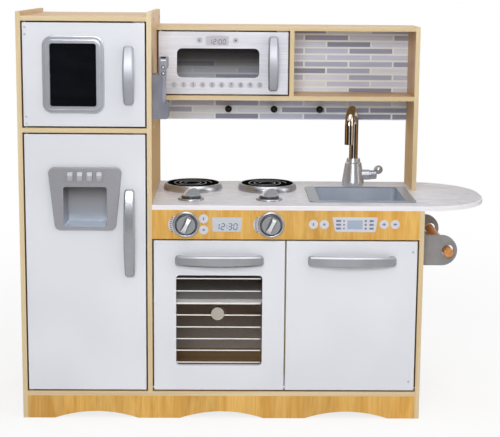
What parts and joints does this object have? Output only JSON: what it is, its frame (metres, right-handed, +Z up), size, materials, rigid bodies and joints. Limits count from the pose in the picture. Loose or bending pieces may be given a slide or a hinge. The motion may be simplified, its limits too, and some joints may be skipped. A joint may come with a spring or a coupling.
{
  "type": "toy kitchen",
  "caption": "Free-standing wooden play kitchen with a fridge-freezer tower, oven and dishwasher doors, hob, sink with tap, microwave wall unit and a towel holder under a rounded side ledge",
  "frame": {"origin": "on the floor, under the middle of the whole object", "axes": "X to the right along the front, Y from the front to the back, Z up"},
  "size_m": [1.2, 0.42, 1.041],
  "materials": {
    "maple_board": "satin maple-effect board",
    "maple_front": "warm maple-effect board, upright grain",
    "white_board": "smooth white lacquer",
    "silver_board": "pale silver lacquer",
    "worktop_board": "pale grey speckled laminate",
    "hardboard": "thin pale hardboard",
    "tile_board": "thin board with a grey tile-strip print",
    "grey_wood": "grey paint on wood",
    "dowel_wood": "bare beech dowel",
    "slate": "matt black slate paint on thin board",
    "silver_plastic": "satin silver plastic",
    "sink_plastic": "satin blue-grey plastic",
    "black_plastic": "satin black plastic",
    "phone_plastic": "matt grey plastic",
    "handset_plastic": "pale grey plastic",
    "plated_plastic": "bright plated plastic",
    "button_plastic": "plated grey plastic",
    "clear_pane": "clear tinted acrylic",
    "steel": "plain steel",
    "catch_plastic": "white plastic block with a magnet"
  },
  "bodies": {
    "carcass": {"tower_left_side": "maple_board", "tower_right_side": "maple_board", "tower_top_panel": "maple_board", "tower_middle_shelf": "maple_board", "tower_back_panel": "hardboard", "bottom_board": "maple_board", "plinth": "maple_front", "cabinet_right_side": "maple_board", "cabinet_divider": "maple_board", "oven_shelf": "maple_board", "cabinet_back_panel": "hardboard", "fascia_panel": "maple_front", "worktop": "worktop_board", "sink_basin": "sink_plastic", "wall_unit_top": "maple_board", "wall_unit_shelf": "maple_board", "wall_unit_divider": "maple_board", "wall_unit_right_side": "maple_board", "backsplash": "tile_board", "utensil_pegs": "black_plastic", "burner_rings": "silver_plastic", "burner_coils": "black_plastic", "tap_base": "silver_plastic", "towel_brackets": "grey_wood", "phone_holder": "phone_plastic", "magnet_catches": "catch_plastic", "knob_bezels": "silver_plastic", "lower_hinge_lug": "steel"},
    "freezer": {"freezer_door": "white_board", "chalkboard": "slate", "chalkboard_frame": "silver_plastic", "freezer_handle": "silver_plastic", "freezer_door_hardware": "steel"},
    "fridge": {"fridge_door": "white_board", "dispenser_housing": "silver_plastic", "fridge_handle": "silver_plastic", "fridge_door_hardware": "steel"},
    "microwave": {"microwave_door": "silver_board", "microwave_window": "clear_pane", "microwave_handle": "silver_plastic", "microwave_door_hardware": "steel"},
    "oven": {"oven_door": "white_board", "oven_window": "clear_pane", "oven_handle": "silver_plastic", "oven_door_hardware": "steel"},
    "dishwasher": {"dishwasher_door": "white_board", "dishwasher_handle": "silver_plastic", "dishwasher_door_hardware": "steel"},
    "oven_knob_body": {"oven_knob": "silver_plastic"},
    "timer_knob_body": {"timer_knob": "silver_plastic"},
    "left_hob_knob_body": {"left_hob_knob": "silver_plastic"},
    "right_hob_knob_body": {"right_hob_knob": "silver_plastic"},
    "tap_spout_body": {"tap_spout": "plated_plastic"},
    "tap_lever_body": {"tap_lever": "plated_plastic"},
    "phone_handset_body": {"phone_handset": "handset_plastic"},
    "towel_dowel_body": {"towel_dowel": "dowel_wood"},
    "dispenser_button_1_body": {"dispenser_button_1": "button_plastic"},
    "dispenser_button_2_body": {"dispenser_button_2": "button_plastic"},
    "dispenser_button_3_body": {"dispenser_button_3": "button_plastic"},
    "dispenser_button_4_body": {"dispenser_button_4": "button_plastic"}
  },
  "joints": [
    {"name": "freezer_swing", "type": "hinge", "parent": "carcass", "child": "freezer", "pos_m": [-0.578, -0.174, 0.758], "axis": [0, 0, -1], "range_deg": [0, 105]},
    {"name": "fridge_swing", "type": "hinge", "parent": "carcass", "child": "fridge", "pos_m": [-0.578, -0.174, 0.076], "axis": [0, 0, -1], "range_deg": [0, 105]},
    {"name": "microwave_swing", "type": "hinge", "parent": "carcass", "child": "microwave", "pos_m": [-0.256, 0.066, 0.819], "axis": [0, 0, -1], "range_deg": [0, 75]},
    {"name": "oven_drop", "type": "hinge", "parent": "carcass", "child": "oven", "pos_m": [-0.262, -0.174, 0.082], "axis": [1, 0, 0], "range_deg": [0, 90]},
    {"name": "dishwasher_drop", "type": "hinge", "parent": "carcass", "child": "dishwasher", "pos_m": [0.408, -0.174, 0.082], "axis": [1, 0, 0], "range_deg": [0, 90]},
    {"name": "oven_knob_turn", "type": "hinge", "parent": "carcass", "child": "oven_knob_body", "pos_m": [-0.18, -0.18, 0.5105], "axis": [0, -1, 0], "continuous": true},
    {"name": "timer_knob_turn", "type": "hinge", "parent": "carcass", "child": "timer_knob_body", "pos_m": [0.035, -0.18, 0.5105], "axis": [0, -1, 0], "continuous": true},
    {"name": "left_hob_knob_turn", "type": "hinge", "parent": "carcass", "child": "left_hob_knob_body", "pos_m": [-0.17, -0.092, 0.56], "axis": [0, 0, 1], "continuous": true},
    {"name": "right_hob_knob_turn", "type": "hinge", "parent": "carcass", "child": "right_hob_knob_body", "pos_m": [0.032, -0.092, 0.56], "axis": [0, 0, 1], "continuous": true},
    {"name": "spout_swivel", "type": "hinge", "parent": "carcass", "child": "tap_spout_body", "pos_m": [0.273, 0.154, 0.635], "axis": [0, 0, 1], "range_deg": [-46, 74]},
    {"name": "tap_lever_turn", "type": "hinge", "parent": "carcass", "child": "tap_lever_body", "pos_m": [0.318, 0.154, 0.589], "axis": [1, 0, 0], "range_deg": [-75, 75]},
    {"name": "dispenser_button_1_press", "type": "slide", "parent": "fridge", "child": "dispenser_button_1_body", "axis": [0, 1, 0], "range_m": [0, 0.0025], "stiffness_N_per_m": 300, "springref_m": -0.001},
    {"name": "dispenser_button_2_press", "type": "slide", "parent": "fridge", "child": "dispenser_button_2_body", "axis": [0, 1, 0], "range_m": [0, 0.0025], "stiffness_N_per_m": 300, "springref_m": -0.001},
    {"name": "dispenser_button_3_press", "type": "slide", "parent": "fridge", "child": "dispenser_button_3_body", "axis": [0, 1, 0], "range_m": [0, 0.0025], "stiffness_N_per_m": 300, "springref_m": -0.001},
    {"name": "dispenser_button_4_press", "type": "slide", "parent": "fridge", "child": "dispenser_button_4_body", "axis": [0, 1, 0], "range_m": [0, 0.0025], "stiffness_N_per_m": 300, "springref_m": -0.001},
    {"name": "handset_lift", "type": "slide", "parent": "carcass", "child": "phone_handset_body", "axis": [0, 0, 1], "range_m": [0, 0.105]},
    {"name": "dowel_spin", "type": "hinge", "parent": "carcass", "child": "towel_dowel_body", "pos_m": [0.493, -0.136, 0.4345], "axis": [0, 1, 0], "continuous": true}
  ]
}
